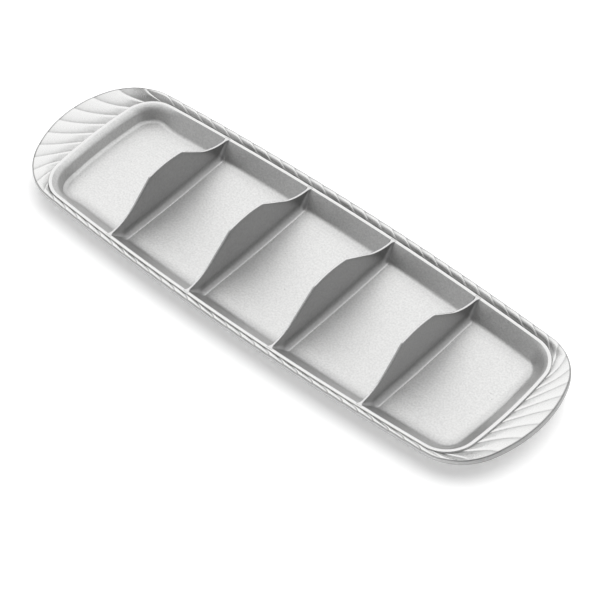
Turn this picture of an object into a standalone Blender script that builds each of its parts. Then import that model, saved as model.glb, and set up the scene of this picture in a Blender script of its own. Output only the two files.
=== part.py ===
"""Long divided serving tray in cast aluminium.

A shallow pan with sloping walls and a narrow bead round its mouth, a border of
swirled flutes that widens into a flat handle at each end, and four humped
dividers across the pan.  Frame: +X along the length, +Y across, +Z up, with the
origin under the middle of the tray on the surface that it stands on.
"""
import math

import bmesh
import bpy

# ---- driving dimensions, in metres and radians -------------------------------
COMPARTMENT_PITCH = 0.0917     # middle of one divider to the middle of the next
DIVIDER_COUNT = 4
FLOOR_THICKNESS = 0.0030
POCKET_DEPTH = 0.0130          # bead crest down to the floor of a compartment
BEAD_Z = FLOOR_THICKNESS + POCKET_DEPTH
FIT_GAP = 0.0003               # between pieces that seat against each other

# Outlines: half length, half width, then the radii of the end arc, the corner
# arc and the bowed side, which run into each other smoothly.
OUTER_EDGE = (0.2600, 0.0805, 0.105, 0.051, 3.0)
BEAD_CREST = (0.2300, 0.0734, 0.410, 0.028, 3.0)
END_STEPS, CORNER_STEPS, SIDE_STEPS = 5, 8, 8

# Pan section, as insets from the bead's crest line
BEAD_HALF_WIDTH = 0.0012
BEAD_SHOULDER_DROP = 0.0002
WALL_TOP_INSET = 0.0016
WALL_TOP_DROP = 0.0010
WALL_SLOPE = math.radians(40)  # the inner wall, measured from upright
FLOOR_FILLET = 0.0050
FILLET_STEPS = 5
FLANGE_BOTTOM_DROP = 0.0040
FOOT_INSET = 0.0092
FOOT_CHAMFER = 0.0006

# Border section
GUTTER_DROP = 0.0014           # bead crest down to the gutter beside it
SIDE_RISE, END_RISE = 0.0024, 0.0083            # bead crest up to the outer edge
SIDE_EDGE_HEIGHT, END_EDGE_HEIGHT = 0.0044, 0.0062
EDGE_ROUND = 0.0008
BORDER_SWELL = 1.6             # above 1, the border rises soonest beside the gutter
BORDER_STEPS = 5

# Dividers, as heights above the bead's crest
CROWN_HEIGHT = 0.0282
SHOULDER_HEIGHT = 0.0261
SHOULDER_Y = 0.0183
FLANK_SLOPE = math.atan(0.728)
TOE_RADIUS = 0.0520
TOE_STEPS = 7
CROWN_STEPS = 6
TOP_HALF_THICKNESS = 0.0009
BASE_HALF_THICKNESS = 0.0020

# Finishes: base colour and roughness
SATIN_CAST = ((0.78, 0.78, 0.77, 1.0), 0.38)
BRIGHT_CAST = ((0.86, 0.86, 0.85, 1.0), 0.28)
SMOOTH_CAST = ((0.72, 0.72, 0.72, 1.0), 0.34)


# ---- scene -------------------------------------------------------------------
def clear_scene():
    for old in list(bpy.data.objects):
        bpy.data.objects.remove(old, do_unlink=True)


def new_collection(name):
    collection = bpy.data.collections.new(name)
    bpy.context.scene.collection.children.link(collection)
    return collection


def metal(name, finish):
    colour, roughness = finish
    material = bpy.data.materials.new(name)
    material.use_nodes = True
    shader = material.node_tree.nodes["Principled BSDF"]
    shader.inputs["Base Color"].default_value = colour
    shader.inputs["Metallic"].default_value = 1.0
    shader.inputs["Roughness"].default_value = roughness
    return material


def add_object(name, form, material, collection):
    """Closes a bmesh into an object with its own material and smooth round faces."""
    bmesh.ops.recalc_face_normals(form, faces=form.faces)
    mesh = bpy.data.meshes.new(name)
    form.to_mesh(mesh)
    form.free()
    mesh.materials.append(material)
    mesh.shade_smooth()
    mesh.set_sharp_from_angle(angle=math.radians(35))
    piece = bpy.data.objects.new(name, mesh)
    collection.objects.link(piece)
    return piece


# ---- outlines ----------------------------------------------------------------
def arcs(outline):
    """The quarter outline's three arcs, from the end round to the middle of the side.

    Each arc is (centre x, centre y, radius, first angle, last angle).
    """
    half_length, half_width, end_radius, corner_radius, side_radius = outline
    end_x = half_length - end_radius
    side_y = half_width - side_radius
    to_end = end_radius - corner_radius
    to_side = side_radius - corner_radius
    gap = math.hypot(end_x, side_y)
    along = (to_end ** 2 - to_side ** 2 + gap ** 2) / (2 * gap)
    across = math.sqrt(to_end ** 2 - along ** 2)
    toward = (-end_x / gap, side_y / gap)
    corner_x = end_x + toward[0] * along - toward[1] * across
    corner_y = toward[1] * along + toward[0] * across
    if corner_y < 0:
        corner_x = end_x + toward[0] * along + toward[1] * across
        corner_y = toward[1] * along - toward[0] * across
    first = math.atan2(corner_y, corner_x - end_x)
    second = math.atan2(corner_y - side_y, corner_x)
    return (
        (end_x, 0.0, end_radius, 0.0, first),
        (corner_x, corner_y, corner_radius, first, second),
        (0.0, side_y, side_radius, second, math.pi / 2),
    )


def inset(outline, distance):
    return tuple(size - distance for size in outline)


def loop_points(outline):
    """Points round the whole outline, anticlockwise from the +X end."""
    quarter = []
    steps = (END_STEPS, CORNER_STEPS, SIDE_STEPS)
    for (centre_x, centre_y, radius, start, stop), count in zip(arcs(outline), steps):
        for step in range(count):
            angle = start + (stop - start) * step / count
            quarter.append((centre_x + radius * math.cos(angle),
                            centre_y + radius * math.sin(angle)))
    top = (0.0, outline[1])
    half = quarter + [top] + [(-x, y) for x, y in reversed(quarter[1:])]
    return half + [(-x, -y) for x, y in half]


def half_width_at(outline, x):
    """Half the outline's width at a place along its bowed side."""
    half_width, side_radius = outline[1], outline[4]
    return half_width - side_radius + math.sqrt(side_radius ** 2 - x ** 2)


# ---- lofting -----------------------------------------------------------------
def loft(rings, closed_section):
    """Skins matching rings of points; open sections are capped at both ends."""
    form = bmesh.new()
    loops = [[form.verts.new(point) for point in ring] for ring in rings]
    pairs = list(zip(loops, loops[1:]))
    if closed_section:
        pairs.append((loops[-1], loops[0]))
    for low, high in pairs:
        for i in range(len(low)):
            j = (i + 1) % len(low)
            form.faces.new((low[i], low[j], high[j], high[i]))
    if not closed_section:
        form.faces.new(loops[0])
        form.faces.new(loops[-1])
    return form


def level_ring(outline, height):
    return [(x, y, height) for x, y in loop_points(outline)]


# ---- pan ---------------------------------------------------------------------
def fillet_centre_inset():
    """Inset of the floor fillet's centre from the bead's crest line."""
    wall_top_z = BEAD_Z - WALL_TOP_DROP
    centre_z = FLOOR_THICKNESS + FLOOR_FILLET
    reach = FLOOR_FILLET + (wall_top_z - centre_z) * math.sin(WALL_SLOPE)
    return WALL_TOP_INSET + reach / math.cos(WALL_SLOPE)


def pan_section():
    """(inset from the bead's crest, height), from the floor over the bead to the foot."""
    section = []
    centre = fillet_centre_inset()
    for step in range(FILLET_STEPS + 1):
        angle = (math.pi / 2 - WALL_SLOPE) * step / FILLET_STEPS
        section.append((centre - FLOOR_FILLET * math.sin(angle),
                        FLOOR_THICKNESS + FLOOR_FILLET * (1 - math.cos(angle))))
    section += [
        (WALL_TOP_INSET, BEAD_Z - WALL_TOP_DROP),
        (WALL_TOP_INSET / 2, BEAD_Z - BEAD_SHOULDER_DROP),
        (0.0, BEAD_Z),
        (-BEAD_HALF_WIDTH / 2, BEAD_Z - BEAD_SHOULDER_DROP),
        (-BEAD_HALF_WIDTH, BEAD_Z - WALL_TOP_DROP),
        (-BEAD_HALF_WIDTH, BEAD_Z - FLANGE_BOTTOM_DROP),
        (FOOT_INSET - FOOT_CHAMFER, FOOT_CHAMFER),
        (FOOT_INSET, 0.0),
    ]
    return section


def make_pan(collection):
    rings = [level_ring(inset(BEAD_CREST, step_in), height)
             for step_in, height in pan_section()]
    return add_object("pan", loft(rings, False), metal("pan", SATIN_CAST), collection)


# ---- gadroon border ----------------------------------------------------------
def blend(low, high, share):
    return low + (high - low) * share


def border_rings():
    """Rings from the gutter out to the edge and back under the border."""
    inner = loop_points(inset(BEAD_CREST, -BEAD_HALF_WIDTH - FIT_GAP))
    outer = loop_points(OUTER_EDGE)
    side_reach = OUTER_EDGE[1] - BEAD_CREST[1] - BEAD_HALF_WIDTH - FIT_GAP
    end_reach = OUTER_EDGE[0] - BEAD_CREST[0] - BEAD_HALF_WIDTH - FIT_GAP
    gutter_z = BEAD_Z - GUTTER_DROP
    under_z = BEAD_Z - FLANGE_BOTTOM_DROP
    columns = []
    for (inner_x, inner_y), (outer_x, outer_y) in zip(inner, outer):
        reach = math.hypot(outer_x - inner_x, outer_y - inner_y)
        widening = (reach - side_reach) / (end_reach - side_reach)
        edge_z = BEAD_Z + blend(SIDE_RISE, END_RISE, widening)
        edge_height = blend(SIDE_EDGE_HEIGHT, END_EDGE_HEIGHT, widening)
        rounding = EDGE_ROUND / reach

        def point(share, height):
            return (blend(inner_x, outer_x, share), blend(inner_y, outer_y, share), height)

        column = []
        for step in range(BORDER_STEPS + 1):
            share = (1 - rounding) * step / BORDER_STEPS
            swell = 1 - (1 - step / BORDER_STEPS) ** BORDER_SWELL
            column.append(point(share, blend(gutter_z, edge_z, swell)))
        column.append(point(1, edge_z - EDGE_ROUND))
        column.append(point(1, edge_z - edge_height + EDGE_ROUND))
        column.append(point(1 - rounding, edge_z - edge_height))
        column.append(point(0.5, blend(under_z, edge_z - edge_height, 1 - 0.5 ** BORDER_SWELL)))
        column.append(point(0, under_z))
        columns.append(column)
    return [list(ring) for ring in zip(*columns)]


def make_border(collection):
    form = loft(border_rings(), True)
    return add_object("gadroon_border", form, metal("border", BRIGHT_CAST), collection)


# ---- dividers ----------------------------------------------------------------
def hump_points(toe_y):
    """(y, height above the bead) over half the top edge, from the wall to the middle."""
    points = []
    for step in range(TOE_STEPS + 1):
        angle = FLANK_SLOPE * step / TOE_STEPS
        points.append((toe_y - TOE_RADIUS * math.sin(angle),
                       TOE_RADIUS * (1 - math.cos(angle))))
    for step in range(CROWN_STEPS + 1):
        y = SHOULDER_Y * (1 - step / CROWN_STEPS)
        fall = (CROWN_HEIGHT - SHOULDER_HEIGHT) * (y / SHOULDER_Y) ** 2
        points.append((y, CROWN_HEIGHT - fall))
    return points


def divider_outline(wall_half_width):
    """(y, z) round a divider: along the pan's section, then over the hump."""
    clear_of_wall = FIT_GAP / math.cos(WALL_SLOPE)
    below = [(wall_half_width - step_in - clear_of_wall, height + FIT_GAP)
             for step_in, height in pan_section()[:FILLET_STEPS + 2]]
    wall_y = below[-1][0]
    above = [(y, BEAD_Z + rise) for y, rise in hump_points(wall_y - WALL_TOP_DROP)]
    half = below + [(wall_y, BEAD_Z - FIT_GAP)] + above
    return half + [(-y, z) for y, z in reversed(half[:-1])]


def make_divider(name, x, collection):
    """A plate with draft: its two faces lean towards each other as they rise."""
    top_z = BEAD_Z + CROWN_HEIGHT
    outline = divider_outline(half_width_at(BEAD_CREST, x))
    faces = []
    for side in (-1, 1):
        ring = []
        for y, z in outline:
            share = (z - FLOOR_THICKNESS) / (top_z - FLOOR_THICKNESS)
            ring.append((side * blend(BASE_HALF_THICKNESS, TOP_HALF_THICKNESS, share), y, z))
        faces.append(ring)
    piece = add_object(name, loft(faces, False), metal(name, SMOOTH_CAST), collection)
    piece.location.x = x
    return piece


def make_dividers(collection):
    for index in range(DIVIDER_COUNT):
        x = (index - (DIVIDER_COUNT - 1) / 2) * COMPARTMENT_PITCH
        make_divider(f"divider_{index + 1}", x, collection)


def main():
    clear_scene()
    tray = new_collection("baguette_tray")
    make_pan(tray)
    make_border(tray)
    make_dividers(tray)


main()
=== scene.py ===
import math

import bmesh
import bpy
from mathutils import Matrix, Vector, noise


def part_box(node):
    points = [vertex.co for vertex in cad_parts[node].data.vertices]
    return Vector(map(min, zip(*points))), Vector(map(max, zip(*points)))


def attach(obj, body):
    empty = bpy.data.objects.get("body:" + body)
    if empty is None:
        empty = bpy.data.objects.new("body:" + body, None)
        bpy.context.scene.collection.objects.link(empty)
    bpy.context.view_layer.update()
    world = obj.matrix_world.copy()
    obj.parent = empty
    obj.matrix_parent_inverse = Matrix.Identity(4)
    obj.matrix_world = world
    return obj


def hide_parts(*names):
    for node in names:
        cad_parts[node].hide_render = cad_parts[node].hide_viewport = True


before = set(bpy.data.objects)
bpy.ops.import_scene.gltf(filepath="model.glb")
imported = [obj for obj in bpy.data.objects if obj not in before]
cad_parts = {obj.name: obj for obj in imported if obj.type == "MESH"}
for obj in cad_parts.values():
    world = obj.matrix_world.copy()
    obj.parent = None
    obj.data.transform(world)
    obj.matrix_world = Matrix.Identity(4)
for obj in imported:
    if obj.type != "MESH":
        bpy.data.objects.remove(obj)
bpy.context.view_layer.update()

MM = 0.001

# ---- dimensions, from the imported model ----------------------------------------
pan_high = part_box("pan")[1]
border_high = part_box("gadroon_border")[1]
DIVIDER_NAMES = sorted(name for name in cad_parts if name.startswith("divider"))

FLOOR_Z = 3.0 * MM
BEAD_Z = pan_high.z
POCKET_DEPTH = BEAD_Z - FLOOR_Z
BEAD_HALF_WIDTH = 1.2 * MM

# Outlines: half length, half width, then the radii of the end, corner and side arcs
OUTER_EDGE = (border_high.x, border_high.y, 105 * MM, 51 * MM, 3.0)
BEAD_CREST = (pan_high.x - BEAD_HALF_WIDTH, pan_high.y - BEAD_HALF_WIDTH,
              410 * MM, 28 * MM, 3.0)

WALL_SLOPE = math.radians(43.5)        # inner wall, from upright
FLOOR_FILLET = 5.5 * MM
LAND_IN, LAND_OUT = 1.50 * MM, 0.55 * MM  # the bead's nearly flat top, either side
BEAD_CROWN = 7.0 * MM                  # radius of that top
BEAD_CORNER = 0.65 * MM
END_SHOULDER = 4.8 * MM                # the left end wall rounds over further before it drops
RIGHT_SHOULDER_SHARE = 0.2             # and the right one by this share of it
SHOULDER_FADE = 1.0 * MM
SHOULDER_DROP = 0.25 * MM              # below the bead's crest, where the shoulder starts
END_FOOT_HEIGHT = 1.5 * MM             # above the floor, where an end wall's foot is reached
LEFT_FOOT, RIGHT_FOOT = -3.2 * MM, 0.4 * MM  # how far in each end wall's foot stands
END_FROM, END_FULL = 183 * MM, 213 * MM  # along x, where the end walls' section sets in
METAL_THICKNESS = 3.0 * MM
FLANK_GROWTH = 0.25 * MM               # the bead's outer flank stands out this much below
FLANGE_DROP = 4.0 * MM                 # bead crest down to the underside of the flange
FLANGE_ROOT = 0.3 * MM                 # a small fillet between the flange and the outer wall
FOOT_HEIGHT = 1.05 * MM                # where the outer wall starts to turn under
FOOT_CURVE = ((0.9 * MM, 0.35 * MM), (2.0 * MM, 0.04 * MM), (3.5 * MM, 0.0))  # (inset, height)
FLOOR_WAVE = 0.05 * MM                 # the cast floor isn't quite flat

GUTTER_DROP = 1.4 * MM
SIDE_RISE, END_RISE = 2.4 * MM, 8.3 * MM
SIDE_EDGE_HEIGHT, END_EDGE_HEIGHT = 4.4 * MM, 6.2 * MM
EDGE_ROUND = 0.8 * MM

FLUTE_COUNT = 78
SIDE_FLUTE = 15.0 * MM                 # spacing along the sides
END_FLUTE_IN = 13.3 * MM               # spacing round the ends, at the bead
END_FLUTE_OUT = 17.5 * MM              # spacing round the ends, at the edge
SIDE_SWIRL, END_SWIRL = 0.72, 2.0      # flutes that a groove crosses on its way out
FLUTE_SLIP = 0.57                      # the two ends' flutes aren't quite in step
SIDE_DEPTH, END_DEPTH = 1.35 * MM, 0.82 * MM
SIDE_SWELL, END_SWELL = 3.4, 1.0       # above 1, the border rises soonest by the bead
GUTTER_WIDTH = 0.9 * MM                # the flutes grow to full depth over this
BORDER_OVERLAP = 1.2 * MM              # the border starts this far out from the bead's crest

SHOULDER_Y = 18.3 * MM
SHOULDER_FALL = 2.1 * MM
TOE_RADIUS = 52 * MM
TOE_ANGLE = math.atan(0.728)
DIVIDER_TOP_HALF = 0.92 * MM
DRAFT = 0.026                          # a divider's faces lean in by this much of their height
DIVIDER_FILLET = 5.2 * MM              # along the floor
WALL_FILLET = 2.0 * MM                 # where a divider meets the bead
FLARE_ROOM = 1.7 * MM                  # a face shorter than this keeps part of its fillet's width
TOE_INSET = 1.5 * MM                   # the hump ends this far in from the bead's crest
ROOT_DEPTH = 0.3 * MM                  # the fillet's toe runs on this far under the surface
TOE_SUNK = 0.03 * MM
LAND_ROUND = 0.45 * MM


def blend(low, high, share):
    return low + (high - low) * share


def smooth_step(low, high, value):
    share = min(1.0, max(0.0, (value - low) / (high - low)))
    return share * share * (3 - 2 * share)


# ---- outlines -----------------------------------------------------------------
def arcs(outline):
    """Centre, radius and angles of the quarter outline's end, corner and side arcs."""
    half_length, half_width, end_radius, corner_radius, side_radius = outline
    end_x = half_length - end_radius
    side_y = half_width - side_radius
    to_end = end_radius - corner_radius
    to_side = side_radius - corner_radius
    gap = math.hypot(end_x, side_y)
    along = (to_end ** 2 - to_side ** 2 + gap ** 2) / (2 * gap)
    across = math.sqrt(to_end ** 2 - along ** 2)
    toward = (-end_x / gap, side_y / gap)
    corner_x = end_x + toward[0] * along - toward[1] * across
    corner_y = toward[1] * along + toward[0] * across
    if corner_y < 0:
        corner_x = end_x + toward[0] * along + toward[1] * across
        corner_y = toward[1] * along - toward[0] * across
    first = math.atan2(corner_y, corner_x - end_x)
    second = math.atan2(corner_y - side_y, corner_x)
    return (
        (end_x, 0.0, end_radius, 0.0, first),
        (corner_x, corner_y, corner_radius, first, second),
        (0.0, side_y, side_radius, second, math.pi / 2),
    )


def inset(outline, distance):
    return tuple(size - distance for size in outline)


def loop_frames(outline, steps):
    """Points round the outline and the way out at each, anticlockwise from the +X end."""
    quarter = []
    for (centre_x, centre_y, radius, start, stop), count in zip(arcs(outline), steps):
        for step in range(count):
            angle = blend(start, stop, step / count)
            out_x, out_y = math.cos(angle), math.sin(angle)
            quarter.append((centre_x + radius * out_x, centre_y + radius * out_y, out_x, out_y))
    mirrored = [(-x, y, -out_x, out_y) for x, y, out_x, out_y in reversed(quarter[1:])]
    half = quarter + [(0.0, outline[1], 0.0, 1.0)] + mirrored
    return half + [(-x, -y, -out_x, -out_y) for x, y, out_x, out_y in half]


def loop_points(outline, steps):
    return [(x, y) for x, y, _, _ in loop_frames(outline, steps)]


def half_width_at(outline, x):
    half_width, side_radius = outline[1], outline[4]
    return half_width - side_radius + math.sqrt(side_radius ** 2 - x ** 2)


# ---- mesh building ------------------------------------------------------------
class Form:
    """A mesh under construction, with a polish value and a painted-shade value at each point."""

    def __init__(self):
        self.mesh = bmesh.new()
        self.polish_and_highlight = self.mesh.verts.layers.float.new("polish_and_highlight")
        self.painted_shade = self.mesh.verts.layers.float.new("painted_shade")

    def ring(self, points, polish_and_highlight=0.0, painted_shade=0.0):
        made = []
        for index, point in enumerate(points):
            vert = self.mesh.verts.new(point)
            vert[self.polish_and_highlight] = polish_and_highlight[index] if isinstance(polish_and_highlight, list) else polish_and_highlight
            vert[self.painted_shade] = painted_shade[index] if isinstance(painted_shade, list) else painted_shade
            made.append(vert)
        return made

    def skin(self, low, high):
        count = len(low)
        for i in range(count):
            j = (i + 1) % count
            self.mesh.faces.new((low[i], low[j], high[j], high[i]))

    def fill_across(self, ring, rows, lift_and_shade_at=None):
        """Fills a level ring that mirrors itself in y with a grid of quads.

        The function passed in gives the lift and the painted shade of each new point.
        """
        half = len(ring) // 2
        columns = []
        for i in range(1, half):
            near, far = ring[i], ring[-i]
            column = [near]
            for row in range(1, rows):
                place = near.co.lerp(far.co, row / rows)
                lift, dark_tone_and_shade = lift_and_shade_at(place) if lift_and_shade_at else (0.0, 0.0)
                place.z += lift
                column.append(self.ring([place], 0.0, dark_tone_and_shade)[0])
            columns.append(column + [far])
        for left, right in zip(columns, columns[1:]):
            for row in range(rows):
                self.mesh.faces.new((left[row], right[row], right[row + 1], left[row + 1]))
        for tip, column in ((ring[0], columns[0]), (ring[half], columns[-1])):
            for row in range(rows):
                self.mesh.faces.new((tip, column[row], column[row + 1]))

    def finish(self, name, material, slot_name, node):
        bmesh.ops.recalc_face_normals(self.mesh, faces=self.mesh.faces)
        mesh = bpy.data.meshes.new(name)
        self.mesh.to_mesh(mesh)
        self.mesh.free()
        mesh.materials.append(material)
        mesh.shade_smooth()
        piece = bpy.data.objects.new(name, mesh)
        bpy.context.scene.collection.objects.link(piece)
        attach(piece, "root")
        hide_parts(node)


# ---- pan ----------------------------------------------------------------------
PAN_STEPS = (30, 26, 70)
FILLET_STEPS = 14
WALL_STEPS = 8
BEAD_STEPS = 16
CROWN_STEPS = 4
FLOOR_ROWS = 24
UNDERSIDE_ROWS = 6
BEAD_OUTER_LEAN = math.radians(75)     # how far the bead's corner turns over, outside

# Painted shade by place. The photo doesn't show that the metal is duller in places: these values
# are painted shade, which brings each wall's brightness near the photo's, where this studio lights it
# too brightly.
BACK_PAINTED_SHADE, LEFT_PAINTED_SHADE = 0.09, 0.03
NEAR_PAINTED_SHADE = 0.46                   # the near wall, and most of the right end wall
BEAD_PAINTED_SHADE = 0.08


def bead_corner(angle, land):
    """(distance from the crest line, drop) on the bead's corner where its surface leans so far."""
    edge = math.asin(land / BEAD_CROWN)
    drop = BEAD_CROWN * (1 - math.cos(edge))
    return (land + BEAD_CORNER * (math.sin(angle) - math.sin(edge)),
            drop + BEAD_CORNER * (math.cos(edge) - math.cos(angle)))


def wall_inset(drop):
    """Inset of the inner wall from the bead's crest line, at a drop below the crest."""
    top_inset, top_drop = bead_corner(math.pi / 2 - WALL_SLOPE, LAND_IN)
    return top_inset + (drop - top_drop) * math.tan(WALL_SLOPE)


def bead_half(lean_to, land):
    """(distance from the crest line, drop, lean) from the crest over one corner."""
    edge = math.asin(land / BEAD_CROWN)
    points = []
    for step in range(CROWN_STEPS):
        angle = edge * step / CROWN_STEPS
        points.append((BEAD_CROWN * math.sin(angle), BEAD_CROWN * (1 - math.cos(angle)), angle))
    for step in range(BEAD_STEPS + 1):
        angle = blend(edge, lean_to, step / BEAD_STEPS)
        points.append(bead_corner(angle, land) + (angle,))
    return points


def inner_section():
    """(inset, height, lean inward, lean up) from the floor to the bead's crest."""
    points = []
    centre = wall_inset(POCKET_DEPTH - FLOOR_FILLET) + FLOOR_FILLET / math.cos(WALL_SLOPE)
    for step in range(FILLET_STEPS + 1):
        angle = (math.pi / 2 - WALL_SLOPE) * step / FILLET_STEPS
        lean, up = math.sin(angle), math.cos(angle)
        points.append((centre - FLOOR_FILLET * lean, FLOOR_Z + FLOOR_FILLET * (1 - up), lean, up))
    foot_drop = BEAD_Z - points[-1][1]
    bead = bead_half(math.pi / 2 - WALL_SLOPE, LAND_IN)
    for step in range(1, WALL_STEPS):
        drop = blend(foot_drop, bead[-1][1], step / WALL_STEPS)
        points.append((wall_inset(drop), BEAD_Z - drop, math.cos(WALL_SLOPE), math.sin(WALL_SLOPE)))
    for off, drop, angle in reversed(bead):
        points.append((off, BEAD_Z - drop, math.sin(angle), math.cos(angle)))
    return points


def outer_section():
    """(inset, height) from the bead's crest over its outer flank and under the pan."""
    points = [(-off, BEAD_Z - drop) for off, drop, _ in bead_half(BEAD_OUTER_LEAN, LAND_OUT)[1:]]
    flank = -points[-1][0] + FLANK_GROWTH
    points.append((-flank, BEAD_Z - GUTTER_DROP))
    points.append((-flank, BEAD_Z - FLANGE_DROP))
    through = METAL_THICKNESS / math.cos(WALL_SLOPE)
    for step in range(WALL_STEPS + 1):
        drop = blend(FLANGE_DROP + FLANGE_ROOT, BEAD_Z - FOOT_HEIGHT, step / WALL_STEPS)
        points.append((wall_inset(drop) - through, BEAD_Z - drop))
    foot_inset = points[-1][0]
    points += [(foot_inset + step_in, height) for step_in, height in FOOT_CURVE]
    return points


def end_move(height, side_x):
    """How far an end wall stands in from the side walls' section, at a height."""
    top, foot = BEAD_Z - SHOULDER_DROP, FLOOR_Z + END_FOOT_HEIGHT
    drop = max(0.0, top - height)
    part = min(1.0, drop / (top - foot))
    rounded = END_SHOULDER * (1 - math.exp(-drop / SHOULDER_FADE)) * (1 - part)
    if side_x < 0:
        return rounded + LEFT_FOOT * part
    return RIGHT_SHOULDER_SHARE * rounded + RIGHT_FOOT * part


def pan_ring(step_in, height, inside):
    points = []
    for x, y, out_x, out_y in loop_frames(inset(BEAD_CREST, step_in), PAN_STEPS):
        move = end_move(height, x) * smooth_step(END_FROM, END_FULL, abs(x)) if inside else 0.0
        points.append((x - out_x * move, y - out_y * move, height))
    return points


def wall_painted_shade(x, y):
    """Painted shade on the inner walls, most on the near side and at the right end's corners."""
    near_side = smooth_step(20 * MM, 60 * MM, -y)
    right_end = smooth_step(205 * MM, 222 * MM, x)
    right_end *= blend(0.4, 1.2, smooth_step(8 * MM, 30 * MM, abs(y)))
    left_end = smooth_step(185 * MM, 205 * MM, -x)
    bright = blend(BACK_PAINTED_SHADE, LEFT_PAINTED_SHADE, left_end)
    return blend(bright, NEAR_PAINTED_SHADE, max(near_side, right_end))


def rim_painted_shade(x, y):
    """Painted shade where the floor turns up into the wall."""
    return 0.08 + 0.45 * wall_painted_shade(x, y)


def floor_lift_and_shade(rim):
    """A function of place for the cast floor's lift and painted shade: level, and darkened at the rim.
    """
    def lift_and_shade_at(place):
        away = min(math.hypot(place.x - x, place.y - y) for x, y, _ in rim)
        wave = noise.noise(Vector((place.x * 28, place.y * 28, 3.7)))
        lift = FLOOR_WAVE * wave * smooth_step(0.0, 8 * MM, away)
        return lift, rim_painted_shade(place.x, place.y) * smooth_step(6 * MM, 0.0, away)
    return lift_and_shade_at


def inside_polish_and_shade(x, y, height, lean, up):
    """(polish, painted shade) inside the pan: only the bead is polished, in places less widely."""
    less = max(smooth_step(30 * MM, 60 * MM, -y), smooth_step(200 * MM, 222 * MM, x))
    low = BEAD_Z - blend(0.55, 0.30, less) * MM
    rubbed = smooth_step(low, low + blend(0.25, 0.16, less) * MM, height)
    on_wall = smooth_step(0.0, 0.45, lean)
    # Painted shade on the unpolished surface, from the floor's rim up the wall.
    cast = blend(rim_painted_shade(x, y), wall_painted_shade(x, y), on_wall)
    return smooth_step(0.80, 0.97, up) * rubbed, blend(cast, BEAD_PAINTED_SHADE, rubbed)


def outside_polish_and_shade(height):
    """(polish, painted shade) from the bead's crest outward: painted shade down in the gutter."""
    polish_and_highlight = smooth_step(BEAD_Z - 0.5 * MM, BEAD_Z - 0.1 * MM, height)
    if height < BEAD_Z - GUTTER_DROP * 1.1:
        return polish_and_highlight, 0.0
    return polish_and_highlight, 0.35 * smooth_step(BEAD_Z - 0.3 * MM, BEAD_Z - 1.2 * MM, height)


def make_pan(metal):
    form = Form()
    rings = []
    for step_in, height, lean, up in inner_section():
        points = pan_ring(step_in, height, True)
        # Each point's polish and painted shade.
        finishes = [inside_polish_and_shade(x, y, height, lean, up) for x, y, _ in points]
        polish_and_highlight = [finish[0] for finish in finishes]
        dark_tone_and_shade = [finish[1] for finish in finishes]
        rings.append(form.ring(points, polish_and_highlight, dark_tone_and_shade))
    for step_in, height in outer_section():
        rings.append(form.ring(pan_ring(step_in, height, False), *outside_polish_and_shade(height)))
    for low, high in zip(rings, rings[1:]):
        form.skin(low, high)
    rim = [tuple(vert.co) for vert in rings[0]]
    form.fill_across(rings[0], FLOOR_ROWS, floor_lift_and_shade(rim))
    form.fill_across(rings[-1], UNDERSIDE_ROWS)
    form.finish("pan_casting", metal, "pan", "pan")


# ---- fluted border ------------------------------------------------------------
BORDER_STEPS = (70, 64, 400)
TOP_ROWS = 44
EDGE_ROWS = 5
BAND_ROWS = 4
UNDER_ROWS = 8
JOINT_WIDTH = 0.060                    # of the crease between two flutes, in flutes
CREST_PLACE = 0.12                     # where a flute is highest, in flutes from the crease
FLUTE_FALL = 0.85                      # share of its height that it loses before the next one
MEAN_RIDGE = 0.7                       # the height that lies on the plain border


def flute_counts(outline, widenings, end_spacing):
    """Flutes passed on the way round to each point, scaled to a whole number of them."""
    counts = [0.0]
    for i in range(len(outline)):
        here, there = outline[i], outline[(i + 1) % len(outline)]
        run = math.hypot(there[0] - here[0], there[1] - here[1])
        spacing = blend(SIDE_FLUTE, end_spacing, smooth_step(0.05, 0.5, widenings[i]))
        counts.append(counts[-1] + run / spacing)
    scale = FLUTE_COUNT / counts[-1]
    return [count * scale for count in counts[:-1]]


def swirl(share):
    """Part of a groove's sideways run that lies inside that share of the border."""
    return 0.45 * share + 0.55 * (1 - (1 - share) ** 2.2)


def flute(phase):
    """(height, nearness to a crease, crest) across the flutes: each falls away, then the next steps
    up.
    """
    off = phase % 1.0
    step = 1 - math.exp(-off / JOINT_WIDTH)
    hollow_shade = math.exp(-(1 - off) / JOINT_WIDTH) + math.exp(-off / JOINT_WIDTH * 3)
    crest = smooth_step(0.22, 0.10, abs(off - CREST_PLACE))
    return step * (1 - FLUTE_FALL * off ** 2), hollow_shade, crest


def broadness(widening):
    """0 along the sides, 1 well into the ends."""
    return smooth_step(0.0, 0.6, widening)


def border_edge_z(widening):
    return BEAD_Z + blend(SIDE_RISE, END_RISE, widening)


def border_bottom_z(widening):
    return border_edge_z(widening) - blend(SIDE_EDGE_HEIGHT, END_EDGE_HEIGHT, widening)


def border_rise(part, widening):
    """Share of the rise from the gutter to the edge, part of the way out."""
    swell = blend(SIDE_SWELL, END_SWELL, smooth_step(0.0, 0.35, widening))
    return 1 - (1 - part) ** swell


def flute_polish_and_shade(part, reach, near, broad, section):
    """(polish, painted shade) on the flutes: polished crests, painted shade in the creases, the
    gutter, towards the edge and over the sides' inner half.
    """
    ridge, hollow_shade, crest = section
    polish_and_highlight = near * max(crest, ridge * smooth_step(0.1, 0.4, part))
    # Painted shade in the creases, in the gutter, towards the edge and over the sides' inner half.
    shade_amount = hollow_shade * near * blend(0.42, blend(0.85, 0.45, part), broad)
    shade_amount += (1 - near) * blend(0.9, 0.12, broad)
    shade_amount += smooth_step(0.8 * MM, 0.3 * MM, (1 - part) * reach) * blend(0.6, 0.9, broad)
    shade_amount += 0.22 * (1 - broad) * (1 - crest) * smooth_step(0.5, 0.2, part)
    return polish_and_highlight, min(1.0, shade_amount)


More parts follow.
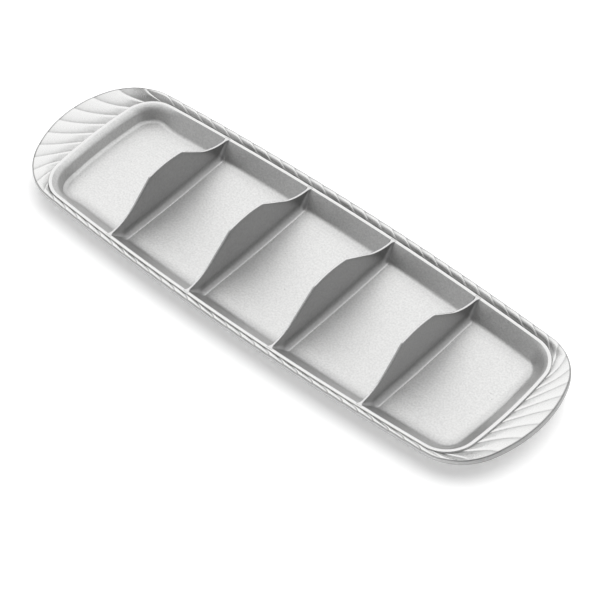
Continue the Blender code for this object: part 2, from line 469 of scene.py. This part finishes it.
def border_top(widening, reach, count_in, count_out, slip):
    """(share of the way out, height, polish, painted shade) over the flutes, and the last relief."""
    broad = broadness(widening)
    depth = blend(SIDE_DEPTH, END_DEPTH, broad)
    turns = blend(SIDE_SWIRL, END_SWIRL, widening ** 0.8)
    rows, relief = [], 0.0
    for row in range(TOP_ROWS + 1):
        part = row / TOP_ROWS
        share = (1 - EDGE_ROUND / reach) * part
        base = blend(BEAD_Z - GUTTER_DROP, border_edge_z(widening), border_rise(part, widening))
        section = flute(blend(count_in, count_out, part) - turns * swirl(share) - slip)
        near = smooth_step(0.0, GUTTER_WIDTH, share * reach)
        far = 1 - 0.5 * broad * smooth_step(0.25, 0.75, part)
        relief = depth * (section[0] - MEAN_RIDGE) * near * far
        polish_and_highlight, shade_amount = flute_polish_and_shade(part, reach, near, broad, section)
        rows.append((share, base + relief, polish_and_highlight, shade_amount))
    return rows, relief


def border_edge(widening, reach, relief):
    """(share of the way out, height, polish, painted shade) over the rolled edge and down the band: a
    painted dark reflection on the edge, painted shade on the band.
    """
    broad = broadness(widening)
    rounding = EDGE_ROUND / reach
    edge_z, bottom_z = border_edge_z(widening), border_bottom_z(widening)
    rows = []
    for row in range(1, EDGE_ROWS + 1):
        angle = math.pi / 2 * row / EDGE_ROWS
        height = edge_z - EDGE_ROUND * (1 - math.cos(angle)) + relief * math.cos(angle)
        # Painted dark reflection along the rolled edge.
        shade_amount = blend(0.95, 0.75, math.sin(angle)) * blend(0.65, 1.0, broad)
        rows.append((1 - rounding * (1 - math.sin(angle)), height, 0.0, shade_amount))
    for row in range(1, BAND_ROWS + 1):
        height = blend(edge_z - EDGE_ROUND, bottom_z + EDGE_ROUND, row / BAND_ROWS)
        # Painted shade down the band.
        rows.append((1, height, 0.0, blend(0.30, 0.70, broad)))
    rows.append((1 - rounding * 0.3, bottom_z + EDGE_ROUND * 0.3, 0.0, 1.0))
    rows.append((1 - rounding, bottom_z, 0.0, 0.9))
    return rows


def border_under(widening, reach):
    """(share of the way out, height, polish, painted shade) from the edge back in to the pan, with a
    little painted shade underneath.
    """
    rows = []
    for row in range(1, UNDER_ROWS + 1):
        part = 1 - row / UNDER_ROWS
        rise = border_rise(part, widening)
        height = blend(BEAD_Z - FLANGE_DROP, border_bottom_z(widening), rise)
        rows.append(((1 - EDGE_ROUND / reach) * part, height, 0.0, 0.15))
    return rows


def border_column(inner, outer, widening, reach, count_in, count_out):
    """Points, polish and painted shade from the gutter over the flutes, down and back under."""
    slip = FLUTE_SLIP * (1 - outer[0] / OUTER_EDGE[0]) / 2
    rows, relief = border_top(widening, reach, count_in, count_out, slip)
    rows += border_edge(widening, reach, relief) + border_under(widening, reach)
    points = []
    for share, height, _, _ in rows:
        points.append((blend(inner[0], outer[0], share), blend(inner[1], outer[1], share), height))
    return points, [row[2] for row in rows], [row[3] for row in rows]


def make_border(metal):
    inner = loop_points(inset(BEAD_CREST, -BORDER_OVERLAP), BORDER_STEPS)
    outer = loop_points(OUTER_EDGE, BORDER_STEPS)
    reaches = [math.hypot(far[0] - near[0], far[1] - near[1]) for near, far in zip(inner, outer)]
    narrow, wide = min(reaches), max(reaches)
    widenings = [(reach - narrow) / (wide - narrow) for reach in reaches]
    counts_in = flute_counts(inner, widenings, END_FLUTE_IN)
    counts_out = flute_counts(outer, widenings, END_FLUTE_OUT)
    form = Form()
    columns = []
    for place in zip(inner, outer, widenings, reaches, counts_in, counts_out):
        columns.append(form.ring(*border_column(*place)))
    for left, right in zip(columns, columns[1:] + columns[:1]):
        form.skin(left, right)
    form.finish("border_casting", metal, "border", "gadroon_border")


# ---- dividers -----------------------------------------------------------------
FLOOR_STATIONS = 36
CORNER_STATIONS = 30
END_STATIONS = 14
FACE_STEPS = 7
ARC_STEPS = 8
LAND_STEPS = 4
LAND_POLISH = 0.7                      # of the narrow flat along a divider's top
TOE_HIGHLIGHT = 0.65                      # painted highlight: the bright line where the fillet meets the floor
# Painted shade on the dividers' fillets and faces.
FILLET_PAINTED_SHADE, FACE_PAINTED_SHADE = 0.35, 0.27
SKEW_FROM = 0.6                        # share of the floor past which the stations lean over
SKEW_STATIONS = 12
CROWN_TRIMS = (0.0, 0.1 * MM, 1.3 * MM, 0.2 * MM)  # the four crowns aren't equally high
HUMP_EASE = 0.7 * MM                   # rounds the corners of the hump
LONG_WAVE, SHORT_WAVE = 0.12 * MM, 0.07 * MM  # heights of the small waves along the top


def hump_height(y, toe_y, crown):
    """Height of a divider's top edge above the bead, at a distance from its middle."""
    shoulder = crown - SHOULDER_FALL
    arc_y = toe_y - TOE_RADIUS * math.sin(TOE_ANGLE)
    arc_height = TOE_RADIUS * (1 - math.cos(TOE_ANGLE))
    if y >= toe_y:
        return 0.0
    if y >= arc_y:
        return TOE_RADIUS - math.sqrt(TOE_RADIUS ** 2 - (toe_y - y) ** 2)
    if y >= SHOULDER_Y:
        return blend(shoulder, arc_height, (y - SHOULDER_Y) / (arc_y - SHOULDER_Y))
    return crown - SHOULDER_FALL * (y / SHOULDER_Y) ** 2


def top_height(y, toe_y, crown, seed):
    """Height of the top edge: the hump with its corners eased, and small waves along it."""
    spots = [hump_height(abs(y + HUMP_EASE * k / 2), toe_y, crown) for k in (-2, -1, 0, 1, 2)]
    clear = smooth_step(0.3 * MM, 4 * MM, spots[2])
    wave = noise.noise(Vector((y * 110, seed * 9.1, 0.3))) * LONG_WAVE
    wave += noise.noise(Vector((y * 420, seed * 5.3, 7.1))) * SHORT_WAVE
    return BEAD_Z + sum(spots) / len(spots) + wave * clear


def wall_path(half_width):
    """(y, z, normal y, normal z) up one side wall, from the floor to the bead's crest."""
    return [(half_width - step_in, height, -lean, up)
            for step_in, height, lean, up in inner_section()]


def resample(path, count):
    """The path again, at even distances along it."""
    runs = [0.0]
    for here, there in zip(path, path[1:]):
        runs.append(runs[-1] + math.hypot(there[0] - here[0], there[1] - here[1]))
    points, segment = [], 0
    for step in range(count + 1):
        goal = runs[-1] * step / count
        while segment < len(path) - 2 and runs[segment + 1] < goal:
            segment += 1
        length = runs[segment + 1] - runs[segment]
        share = (goal - runs[segment]) / length if length else 0.0
        points.append(tuple(blend(a, b, share) for a, b in zip(path[segment], path[segment + 1])))
    return points


def reach_to_top(base, top):
    """How far out along the pan's normal the divider's top edge is."""
    y, z, normal_y, normal_z = base
    low, high = 0.0, 30 * MM
    for _ in range(40):
        middle = (low + high) / 2
        if z + normal_z * middle < top(y + normal_y * middle):
            low = middle
        else:
            high = middle
    return low


def divider_stations(half_width, top):
    """Half of a divider's stations: (base point and normal, top y, reach) from the middle out."""
    wall = resample(wall_path(half_width), CORNER_STATIONS + END_STATIONS)
    floor_end = wall[0][0]
    skew_y = floor_end * SKEW_FROM
    stations = []
    for step in range(FLOOR_STATIONS):
        y = skew_y * step / FLOOR_STATIONS
        stations.append([(y, FLOOR_Z, 0.0, 1.0), y, None])
    skewed = []
    for step in range(SKEW_STATIONS):
        skewed.append((blend(skew_y, floor_end, step / SKEW_STATIONS), FLOOR_Z, 0.0, 1.0))
    skewed += wall
    ending = [reach_to_top(base, top) < WALL_FILLET * 1.6 for base in skewed]
    first = len(ending) - 1
    while ending[first - 1]:
        first -= 1
    runs = [0.0]
    for here, there in zip(skewed, skewed[1:]):
        runs.append(runs[-1] + math.hypot(there[0] - here[0], there[1] - here[1]))
    base = skewed[first]
    first_y = base[0] + base[2] * reach_to_top(base, top)
    for index, base in enumerate(skewed):
        if index < first:
            stations.append([base, blend(skew_y, first_y, runs[index] / runs[first]), None])
        else:
            reach = reach_to_top(base, top)
            stations.append([base, base[0] + base[2] * reach, reach])
    return stations


def fillet_radius(z):
    """The fillet shrinks as it climbs the wall towards the bead."""
    climbed = (z - FLOOR_Z) / (BEAD_Z - 3 * MM - FLOOR_Z)
    return blend(DIVIDER_FILLET, WALL_FILLET, min(1.0, climbed))


def divider_ring(base, top_y, reach, top):
    """One station's half section, from under the toe: (width, y, z, polish, painted shade)."""
    y, z, normal_y, normal_z = base
    top_z = top(top_y)

    def half_thickness(height):
        return DIVIDER_TOP_HALF + DRAFT * (top_z - height)

    radius = fillet_radius(z)
    climb = radius if reach is None else min(radius, reach)
    body = half_thickness(z + normal_z * climb)
    last_angle = math.acos(max(0.0, 1 - climb / radius))
    on_floor = 1 - smooth_step(FLOOR_Z, FLOOR_Z + 5 * MM, z)
    points = [(body + radius, y - normal_y * ROOT_DEPTH, z - normal_z * ROOT_DEPTH, 0.0, 0.0)]
    for step in range(ARC_STEPS + 1):
        angle = last_angle * step / ARC_STEPS
        height = radius * (1 - math.cos(angle)) - TOE_SUNK * (1 - step / ARC_STEPS)
        width = body + radius * (1 - math.sin(angle))
        # Painted highlight: the fillet's outermost steps get the polished colour as a bright line.
        gloss_and_highlight = TOE_HIGHLIGHT * on_floor * smooth_step(1.5, 0.5, step)
        # Painted shade in the fillet, away from its bright toe line.
        hollow_shade = FILLET_PAINTED_SHADE * on_floor * smooth_step(0.6, 2.0, step)
        points.append((width, y + normal_y * height, z + normal_z * height, gloss_and_highlight, hollow_shade))
    width, low_y, low_z, _, hollow_shade = points[-1]
    room = math.hypot(top_y - low_y, top_z - low_z)
    rounding = min(LAND_ROUND, 0.6 * room + 0.05 * MM)
    face_top = max(low_z, top_z - rounding)
    for step in range(1, FACE_STEPS + 1):
        share = step / FACE_STEPS
        height = blend(low_z, face_top, share)
        thin = half_thickness(height)
        wide = max(thin, blend(width, thin, min(1, room / FLARE_ROOM)))
        # Painted shade fading from the fillet's to the face's.
        dark_tone_and_shade = blend(hollow_shade, FACE_PAINTED_SHADE, share)
        points.append((wide, blend(low_y, top_y, share), height, 0.0, dark_tone_and_shade))
    wide = points[-1][0]
    for step in range(1, LAND_STEPS + 1):
        angle = math.pi / 2 * step / LAND_STEPS
        width = max(0.0, wide - rounding * (1 - math.cos(angle)))
        height = face_top + (top_z - face_top) * math.sin(angle)
        points.append((width, top_y, height, LAND_POLISH * step / LAND_STEPS, 0.0))
    points.append((max(0.0, wide - rounding) * 0.5, top_y, top_z + 0.05 * MM, LAND_POLISH, 0.0))
    return points


def make_divider(index, name, metal):
    low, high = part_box(name)
    middle_x = (low.x + high.x) / 2
    half_width = half_width_at(BEAD_CREST, middle_x)
    crown = high.z - BEAD_Z - CROWN_TRIMS[index]
    toe_y = half_width - TOE_INSET
    form = Form()
    rings = []
    for side_y in (-1, 1):

        def top(y):
            return top_height(side_y * y, toe_y, crown, index + 1)

        stations = divider_stations(half_width, top)
        half_rings = []
        for base, top_y, reach in stations:
            section = divider_ring(base, top_y, reach, top)
            on_wall = smooth_step(FLOOR_Z, FLOOR_Z + FLOOR_FILLET, base[1])
            points, polish_and_highlight, painted_shade = [], [], []
            for side_x, order in ((1, section), (-1, reversed(section))):
                for width, y, z, gloss_and_highlight, shade_amount in order:
                    x = middle_x + side_x * width
                    bow = half_width_at(BEAD_CREST, x) - half_width
                    points.append((x, side_y * (y + bow * on_wall), z))
                    polish_and_highlight.append(gloss_and_highlight)
                    painted_shade.append(shade_amount)
            half_rings.append((points, polish_and_highlight, painted_shade))
        rings += list(reversed(half_rings)) if side_y < 0 else half_rings[1:]
    loops = [form.ring(*ring) for ring in rings]
    for here, there in zip(loops, loops[1:]):
        form.skin(here, there)
    form.mesh.faces.new(loops[0])
    form.mesh.faces.new(loops[-1])
    form.finish(f"{name}_casting", metal, "divider", name)


# ---- materials ----------------------------------------------------------------
DULL_SHARE = 0.84                      # the cast colour's darker patches, against the clean ones
POLISH_AND_HIGHLIGHT_COLOUR = (0.76, 0.76, 0.755, 1.0)
PIT_COLOUR = (0.30, 0.30, 0.30, 1.0)
# Painted shade: the dark colour mixed into creases, corners, the gutter and the walls.
PAINTED_SHADE_COLOUR = (0.12, 0.12, 0.12, 1.0)
GRAIN_DEPTH = 0.6 * MM


def add_node(tree, kind, settings=None, **sockets):
    """A node with its settings and sockets; s0, s1 and so on name a socket by its number."""
    made = tree.nodes.new(kind)
    for key, value in (settings or {}).items():
        setattr(made, key, value)
    for key, value in sockets.items():
        socket = made.inputs[int(key[1:])] if key[0] == "s" and key[1:].isdigit() else made.inputs[key]
        if isinstance(value, bpy.types.NodeSocket):
            tree.links.new(value, socket)
        else:
            socket.default_value = value
    return made


def math_node(tree, operation, first, second):
    made = add_node(tree, "ShaderNodeMath", {"operation": operation}, s0=first, s1=second)
    return made.outputs[0]


def mix_number(tree, share, first, second):
    made = add_node(tree, "ShaderNodeMix", {"data_type": "FLOAT"}, Factor=share, A=first, B=second)
    return made.outputs["Result"]


def mix_colour(tree, share, first, second):
    made = add_node(tree, "ShaderNodeMix", {"data_type": "RGBA"}, s0=share, s6=first, s7=second)
    return made.outputs[2]


def cast_metal(name, cast_colour, cast_roughness, grain, polished_roughness):
    """Sand-cast aluminium: grain, soft mottling and pits, smooth where it is polished; with painted
    highlight and painted shade where the mesh's values ask.
    """
    material = bpy.data.materials.new(name)
    material.use_nodes = True
    tree = material.node_tree
    shader = tree.nodes["Principled BSDF"]
    place = add_node(tree, "ShaderNodeTexCoord").outputs["Object"]

    def clouds(scale, detail, roughness):
        return add_node(tree, "ShaderNodeTexNoise", Vector=place, Scale=scale, Detail=detail,
                        Roughness=roughness).outputs[0]

    def product(first, second):
        return math_node(tree, "MULTIPLY", first, second)

    def total(first, second):
        return math_node(tree, "ADD", first, second)

    def swing(texture, amount):
        """The texture's swing round its middle value."""
        return product(math_node(tree, "SUBTRACT", texture, 0.5), amount)

    fine = clouds(1500.0, 3.0, 0.65)
    coarse = clouds(620.0, 2.0, 0.55)
    mottle = clouds(42.0, 4.0, 0.6)
    cells = add_node(tree, "ShaderNodeTexVoronoi", Vector=place, Scale=260.0).outputs["Distance"]
    pits = add_node(tree, "ShaderNodeMapRange", {"interpolation_type": "SMOOTHSTEP"}, Value=cells,
                    s1=0.04, s2=0.16, s3=1.0, s4=0.0).outputs[0]
    pits = product(pits, math_node(tree, "GREATER_THAN", mottle, 0.60))
    polish_and_highlight = add_node(tree, "ShaderNodeAttribute", {"attribute_name": "polish_and_highlight"}).outputs["Fac"]
    painted_shade = add_node(tree, "ShaderNodeAttribute", {"attribute_name": "painted_shade"}).outputs["Fac"]

    dark_tone_and_shade = tuple(part * DULL_SHARE for part in cast_colour) + (1.0,)
    clean = tuple(cast_colour) + (1.0,)
    speckle = total(product(mottle, 0.3), product(coarse, 0.7))
    speckle = add_node(tree, "ShaderNodeMapRange", Value=speckle, s1=0.36, s2=0.64).outputs[0]
    colour = mix_colour(tree, speckle, dark_tone_and_shade, clean)
    colour = mix_colour(tree, product(pits, 0.5), colour, PIT_COLOUR)
    # Polish, and the painted highlight at the dividers' toes, mix in the polished colour.
    colour = mix_colour(tree, polish_and_highlight, colour, POLISH_AND_HIGHLIGHT_COLOUR)
    # Painted shade darkens the colour towards the dark shade colour.
    colour = mix_colour(tree, product(painted_shade, 0.8), colour, PAINTED_SHADE_COLOUR)
    tree.links.new(colour, shader.inputs["Base Color"])

    cast = total(cast_roughness, swing(mottle, 0.22))
    polished = total(polished_roughness, swing(coarse, 0.20))
    rough = total(mix_number(tree, polish_and_highlight, cast, polished), product(painted_shade, 0.12))
    tree.links.new(rough, shader.inputs["Roughness"])

    height = total(product(fine, 0.45), product(coarse, 0.55))
    height = math_node(tree, "SUBTRACT", height, product(pits, 0.5))
    strength = mix_number(tree, polish_and_highlight, grain, grain * 0.25)
    bump = add_node(tree, "ShaderNodeBump", Strength=strength, Distance=GRAIN_DEPTH, Height=height)
    tree.links.new(bump.outputs[0], shader.inputs["Normal"])
    shader.inputs["Metallic"].default_value = 1.0
    return material


# ---- studio -------------------------------------------------------------------
# Soft patches of light: direction, the cosines where each starts and is full, and strength
GLOWS = (
    ((-0.50, 0.60, 0.62), 0.42, 0.70, 1.0),
    ((-0.55, -0.75, 0.25), 0.55, 0.95, 0.32),
    ((0.85, 0.45, 0.30), 0.60, 0.95, 0.60),
)
SURROUNDINGS = 0.22
FLOOR_COLOUR = (0.88, 0.88, 0.88, 1.0)
FLOOR_GLOW = 0.22                      # keeps the tray's shadow pale
FLOOR_LIGHT_FROM = (0.02, 0.50, 0.86)
FLOOR_LIGHT_ENERGY = 1.85
FLOOR_LIGHT_ANGLE = math.radians(80)


def make_floor():
    bpy.ops.mesh.primitive_plane_add(size=30.0, location=(0, 0, -0.05 * MM))
    floor = bpy.context.object
    floor.name = "studio_floor"
    material = bpy.data.materials.new("studio_floor")
    material.use_nodes = True
    shader = material.node_tree.nodes["Principled BSDF"]
    shader.inputs["Base Color"].default_value = FLOOR_COLOUR
    shader.inputs["Roughness"].default_value = 0.9
    shader.inputs["Specular IOR Level"].default_value = 0.1
    shader.inputs["Emission Color"].default_value = (1.0, 1.0, 1.0, 1.0)
    shader.inputs["Emission Strength"].default_value = FLOOR_GLOW
    floor.data.materials.append(material)
    return floor


def glow(tree, direction, away, outer, inner, strength):
    """A soft patch of studio light round one direction."""
    aim = Vector(direction).normalized()
    facing = add_node(tree, "ShaderNodeVectorMath", {"operation": "DOT_PRODUCT"}, s0=away,
                      s1=tuple(aim)).outputs["Value"]
    patch = add_node(tree, "ShaderNodeMapRange", {"interpolation_type": "SMOOTHSTEP"}, Value=facing,
                     s1=outer, s2=inner, s3=0.0, s4=strength)
    return patch.outputs[0]


def make_studio():
    world = bpy.data.worlds.new("studio")
    bpy.context.scene.world = world
    world.use_nodes = True
    tree = world.node_tree
    background = tree.nodes["Background"]
    away = add_node(tree, "ShaderNodeTexCoord").outputs["Generated"]
    light = SURROUNDINGS
    for direction, outer, inner, strength in GLOWS:
        light = math_node(tree, "ADD", light, glow(tree, direction, away, outer, inner, strength))
    tree.links.new(light, background.inputs["Strength"])
    background.inputs["Color"].default_value = (1.0, 1.0, 1.0, 1.0)


def make_floor_light(floor):
    """A broad lamp over the back that falls on the floor alone and softens the shadow."""
    lamp = bpy.data.lights.new("floor_light", "SUN")
    lamp.energy = FLOOR_LIGHT_ENERGY
    lamp.angle = FLOOR_LIGHT_ANGLE
    light = bpy.data.objects.new("floor_light", lamp)
    bpy.context.scene.collection.objects.link(light)
    light.rotation_euler = Vector(FLOOR_LIGHT_FROM).to_track_quat("Z", "Y").to_euler()
    lit = bpy.data.collections.new("lit_by_floor_light")
    lit.objects.link(floor)
    light.light_linking.receiver_collection = lit


# ---- camera: fitted to the photo's view ---------------------------------------
AZIMUTH = math.radians(48.35)
ELEVATION = math.radians(49.2)
ROLL = math.radians(-6.85)
DISTANCE = 2.1059
SIDE_SLIDE, UP_SLIDE = 7.8 * MM, -27.6 * MM
SENSOR = 36.0
LENS = 158.27


def make_camera():
    back = Vector((math.sin(AZIMUTH) * math.cos(ELEVATION),
                   -math.cos(AZIMUTH) * math.cos(ELEVATION), math.sin(ELEVATION)))
    level_right = Vector((0, 0, 1)).cross(back).normalized()
    level_up = back.cross(level_right)
    right = level_right * math.cos(ROLL) + level_up * math.sin(ROLL)
    up = level_up * math.cos(ROLL) - level_right * math.sin(ROLL)
    data = bpy.data.cameras.new("camera")
    data.sensor_width = SENSOR
    data.lens = LENS
    data.clip_end = 50.0
    camera = bpy.data.objects.new("camera", data)
    bpy.context.scene.collection.objects.link(camera)
    turn = Matrix((right, up, back)).transposed().to_4x4()
    place = right * SIDE_SLIDE + up * UP_SLIDE + back * DISTANCE + Vector((0, 0, BEAD_Z))
    camera.matrix_world = Matrix.Translation(place) @ turn
    bpy.context.scene.camera = camera


# ---- the whole scene ----------------------------------------------------------
# Each metal: colour, cast roughness, grain and polished roughness. The real tray is all one
# metal. The dividers' darker colour is painted shade: it only brings their brightness near the
# photo's.
pan_metal = cast_metal("pan_cast_aluminium", (0.80, 0.80, 0.795), 0.42, 0.55, 0.22)
border_metal = cast_metal("border_cast_aluminium", (0.73, 0.73, 0.725), 0.36, 0.35, 0.24)
shaded_divider_metal = cast_metal("divider_aluminium_painted_shade", (0.50, 0.50, 0.50), 0.36, 0.30, 0.20)

make_pan(pan_metal)
make_border(border_metal)
for number, node_name in enumerate(DIVIDER_NAMES):
    make_divider(number, node_name, shaded_divider_metal)
make_floor_light(make_floor())
make_studio()
make_camera()
bpy.context.scene.view_settings.view_transform = "Standard"
